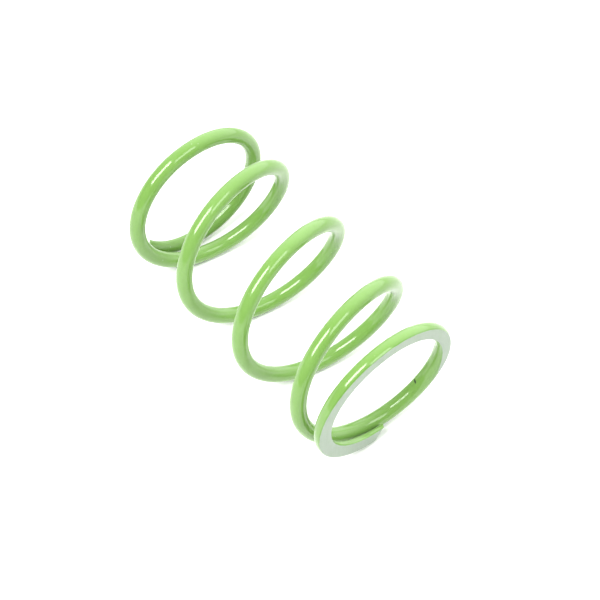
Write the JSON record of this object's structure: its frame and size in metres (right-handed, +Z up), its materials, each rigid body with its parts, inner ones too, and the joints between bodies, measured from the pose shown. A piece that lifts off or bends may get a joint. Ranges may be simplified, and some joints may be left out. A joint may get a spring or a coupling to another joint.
{
  "type": "coil spring",
  "caption": "Closed and ground compression coil spring of round wire with a green powder coat, lying on its side. It pushes two flat seats apart.",
  "frame": {"origin": "on the surface that the coils lie on, straight under the middle of the spring", "axes": "+X along the coil axis from the rear end to the front end, +Z up, axis 30 mm above the surface"},
  "size_m": [0.1068, 0.06, 0.06],
  "materials": {
    "green_powder_coat": "glossy powder coat on spring steel, fine orange peel",
    "ground_end_and_coat": "glossy powder coat, with the ground face thinly coated and paler"
  },
  "bodies": {
    "rear_end": {"rear_ground_coil": "ground_end_and_coat", "rear_rise": "green_powder_coat"},
    "front_end": {"front_ground_coil": "ground_end_and_coat", "front_rise": "green_powder_coat", "front_lead": "green_powder_coat"},
    "active_coil_22": {"active_coil_22": "green_powder_coat"},
    "active_coil_21": {"active_coil_21": "green_powder_coat"},
    "active_coil_20": {"active_coil_20": "green_powder_coat"},
    "active_coil_19": {"active_coil_19": "green_powder_coat"},
    "active_coil_18": {"active_coil_18": "green_powder_coat"},
    "active_coil_17": {"active_coil_17": "green_powder_coat"},
    "active_coil_16": {"active_coil_16": "green_powder_coat"},
    "active_coil_15": {"active_coil_15": "green_powder_coat"},
    "active_coil_14": {"active_coil_14": "green_powder_coat"},
    "active_coil_13": {"active_coil_13": "green_powder_coat"},
    "active_coil_12": {"active_coil_12": "green_powder_coat"},
    "active_coil_11": {"active_coil_11": "green_powder_coat"},
    "active_coil_10": {"active_coil_10": "green_powder_coat"},
    "active_coil_09": {"active_coil_09": "green_powder_coat"},
    "active_coil_08": {"active_coil_08": "green_powder_coat"},
    "active_coil_07": {"active_coil_07": "green_powder_coat"},
    "active_coil_06": {"active_coil_06": "green_powder_coat"},
    "active_coil_05": {"active_coil_05": "green_powder_coat"},
    "active_coil_04": {"active_coil_04": "green_powder_coat"},
    "active_coil_03": {"active_coil_03": "green_powder_coat"},
    "active_coil_02": {"active_coil_02": "green_powder_coat"},
    "active_coil_01": {"active_coil_01": "green_powder_coat"},
    "rear_lead": {"rear_lead": "green_powder_coat"}
  },
  "joints": [
    {"name": "compression", "type": "slide", "parent": "rear_end", "child": "front_end", "axis": [-1, 0, 0], "range_m": [0, 0.06555], "stiffness_N_per_m": 20000},
    {"name": "slide_active_coil_22", "type": "slide", "parent": "front_end", "child": "active_coil_22", "axis": [1, 0, 0], "range_m": [0, 0.0029]},
    {"name": "slide_active_coil_21", "type": "slide", "parent": "active_coil_22", "child": "active_coil_21", "axis": [1, 0, 0], "range_m": [0, 0.0029]},
    {"name": "slide_active_coil_20", "type": "slide", "parent": "active_coil_21", "child": "active_coil_20", "axis": [1, 0, 0], "range_m": [0, 0.0029]},
    {"name": "slide_active_coil_19", "type": "slide", "parent": "active_coil_20", "child": "active_coil_19", "axis": [1, 0, 0], "range_m": [0, 0.0029]},
    {"name": "slide_active_coil_18", "type": "slide", "parent": "active_coil_19", "child": "active_coil_18", "axis": [1, 0, 0], "range_m": [0, 0.0029]},
    {"name": "slide_active_coil_17", "type": "slide", "parent": "active_coil_18", "child": "active_coil_17", "axis": [1, 0, 0], "range_m": [0, 0.0029]},
    {"name": "slide_active_coil_16", "type": "slide", "parent": "active_coil_17", "child": "active_coil_16", "axis": [1, 0, 0], "range_m": [0, 0.0029]},
    {"name": "slide_active_coil_15", "type": "slide", "parent": "active_coil_16", "child": "active_coil_15", "axis": [1, 0, 0], "range_m": [0, 0.0029]},
    {"name": "slide_active_coil_14", "type": "slide", "parent": "active_coil_15", "child": "active_coil_14", "axis": [1, 0, 0], "range_m": [0, 0.0029]},
    {"name": "slide_active_coil_13", "type": "slide", "parent": "active_coil_14", "child": "active_coil_13", "axis": [1, 0, 0], "range_m": [0, 0.0029]},
    {"name": "slide_active_coil_12", "type": "slide", "parent": "active_coil_13", "child": "active_coil_12", "axis": [1, 0, 0], "range_m": [0, 0.0029]},
    {"name": "slide_active_coil_11", "type": "slide", "parent": "active_coil_12", "child": "active_coil_11", "axis": [1, 0, 0], "range_m": [0, 0.0029]},
    {"name": "slide_active_coil_10", "type": "slide", "parent": "active_coil_11", "child": "active_coil_10", "axis": [1, 0, 0], "range_m": [0, 0.0029]},
    {"name": "slide_active_coil_09", "type": "slide", "parent": "active_coil_10", "child": "active_coil_09", "axis": [1, 0, 0], "range_m": [0, 0.0029]},
    {"name": "slide_active_coil_08", "type": "slide", "parent": "active_coil_09", "child": "active_coil_08", "axis": [1, 0, 0], "range_m": [0, 0.0029]},
    {"name": "slide_active_coil_07", "type": "slide", "parent": "active_coil_08", "child": "active_coil_07", "axis": [1, 0, 0], "range_m": [0, 0.0029]},
    {"name": "slide_active_coil_06", "type": "slide", "parent": "active_coil_07", "child": "active_coil_06", "axis": [1, 0, 0], "range_m": [0, 0.0029]},
    {"name": "slide_active_coil_05", "type": "slide", "parent": "active_coil_06", "child": "active_coil_05", "axis": [1, 0, 0], "range_m": [0, 0.0029]},
    {"name": "slide_active_coil_04", "type": "slide", "parent": "active_coil_05", "child": "active_coil_04", "axis": [1, 0, 0], "range_m": [0, 0.0029]},
    {"name": "slide_active_coil_03", "type": "slide", "parent": "active_coil_04", "child": "active_coil_03", "axis": [1, 0, 0], "range_m": [0, 0.0029]},
    {"name": "slide_active_coil_02", "type": "slide", "parent": "active_coil_03", "child": "active_coil_02", "axis": [1, 0, 0], "range_m": [0, 0.0029]},
    {"name": "slide_active_coil_01", "type": "slide", "parent": "active_coil_02", "child": "active_coil_01", "axis": [1, 0, 0], "range_m": [0, 0.0029]},
    {"name": "slide_rear_lead", "type": "slide", "parent": "active_coil_01", "child": "rear_lead", "axis": [1, 0, 0], "range_m": [0, 0.0029]}
  ],
  "couplings": [
    {"joint": "slide_active_coil_22", "follows": "compression", "ratio": 0.043478},
    {"joint": "slide_active_coil_21", "follows": "compression", "ratio": 0.043478},
    {"joint": "slide_active_coil_20", "follows": "compression", "ratio": 0.043478},
    {"joint": "slide_active_coil_19", "follows": "compression", "ratio": 0.043478},
    {"joint": "slide_active_coil_18", "follows": "compression", "ratio": 0.043478},
    {"joint": "slide_active_coil_17", "follows": "compression", "ratio": 0.043478},
    {"joint": "slide_active_coil_16", "follows": "compression", "ratio": 0.043478},
    {"joint": "slide_active_coil_15", "follows": "compression", "ratio": 0.043478},
    {"joint": "slide_active_coil_14", "follows": "compression", "ratio": 0.043478},
    {"joint": "slide_active_coil_13", "follows": "compression", "ratio": 0.043478},
    {"joint": "slide_active_coil_12", "follows": "compression", "ratio": 0.043478},
    {"joint": "slide_active_coil_11", "follows": "compression", "ratio": 0.043478},
    {"joint": "slide_active_coil_10", "follows": "compression", "ratio": 0.043478},
    {"joint": "slide_active_coil_09", "follows": "compression", "ratio": 0.043478},
    {"joint": "slide_active_coil_08", "follows": "compression", "ratio": 0.043478},
    {"joint": "slide_active_coil_07", "follows": "compression", "ratio": 0.043478},
    {"joint": "slide_active_coil_06", "follows": "compression", "ratio": 0.043478},
    {"joint": "slide_active_coil_05", "follows": "compression", "ratio": 0.043478},
    {"joint": "slide_active_coil_04", "follows": "compression", "ratio": 0.043478},
    {"joint": "slide_active_coil_03", "follows": "compression", "ratio": 0.043478},
    {"joint": "slide_active_coil_02", "follows": "compression", "ratio": 0.043478},
    {"joint": "slide_active_coil_01", "follows": "compression", "ratio": 0.043478},
    {"joint": "slide_rear_lead", "follows": "compression", "ratio": 0.043478}
  ]
}
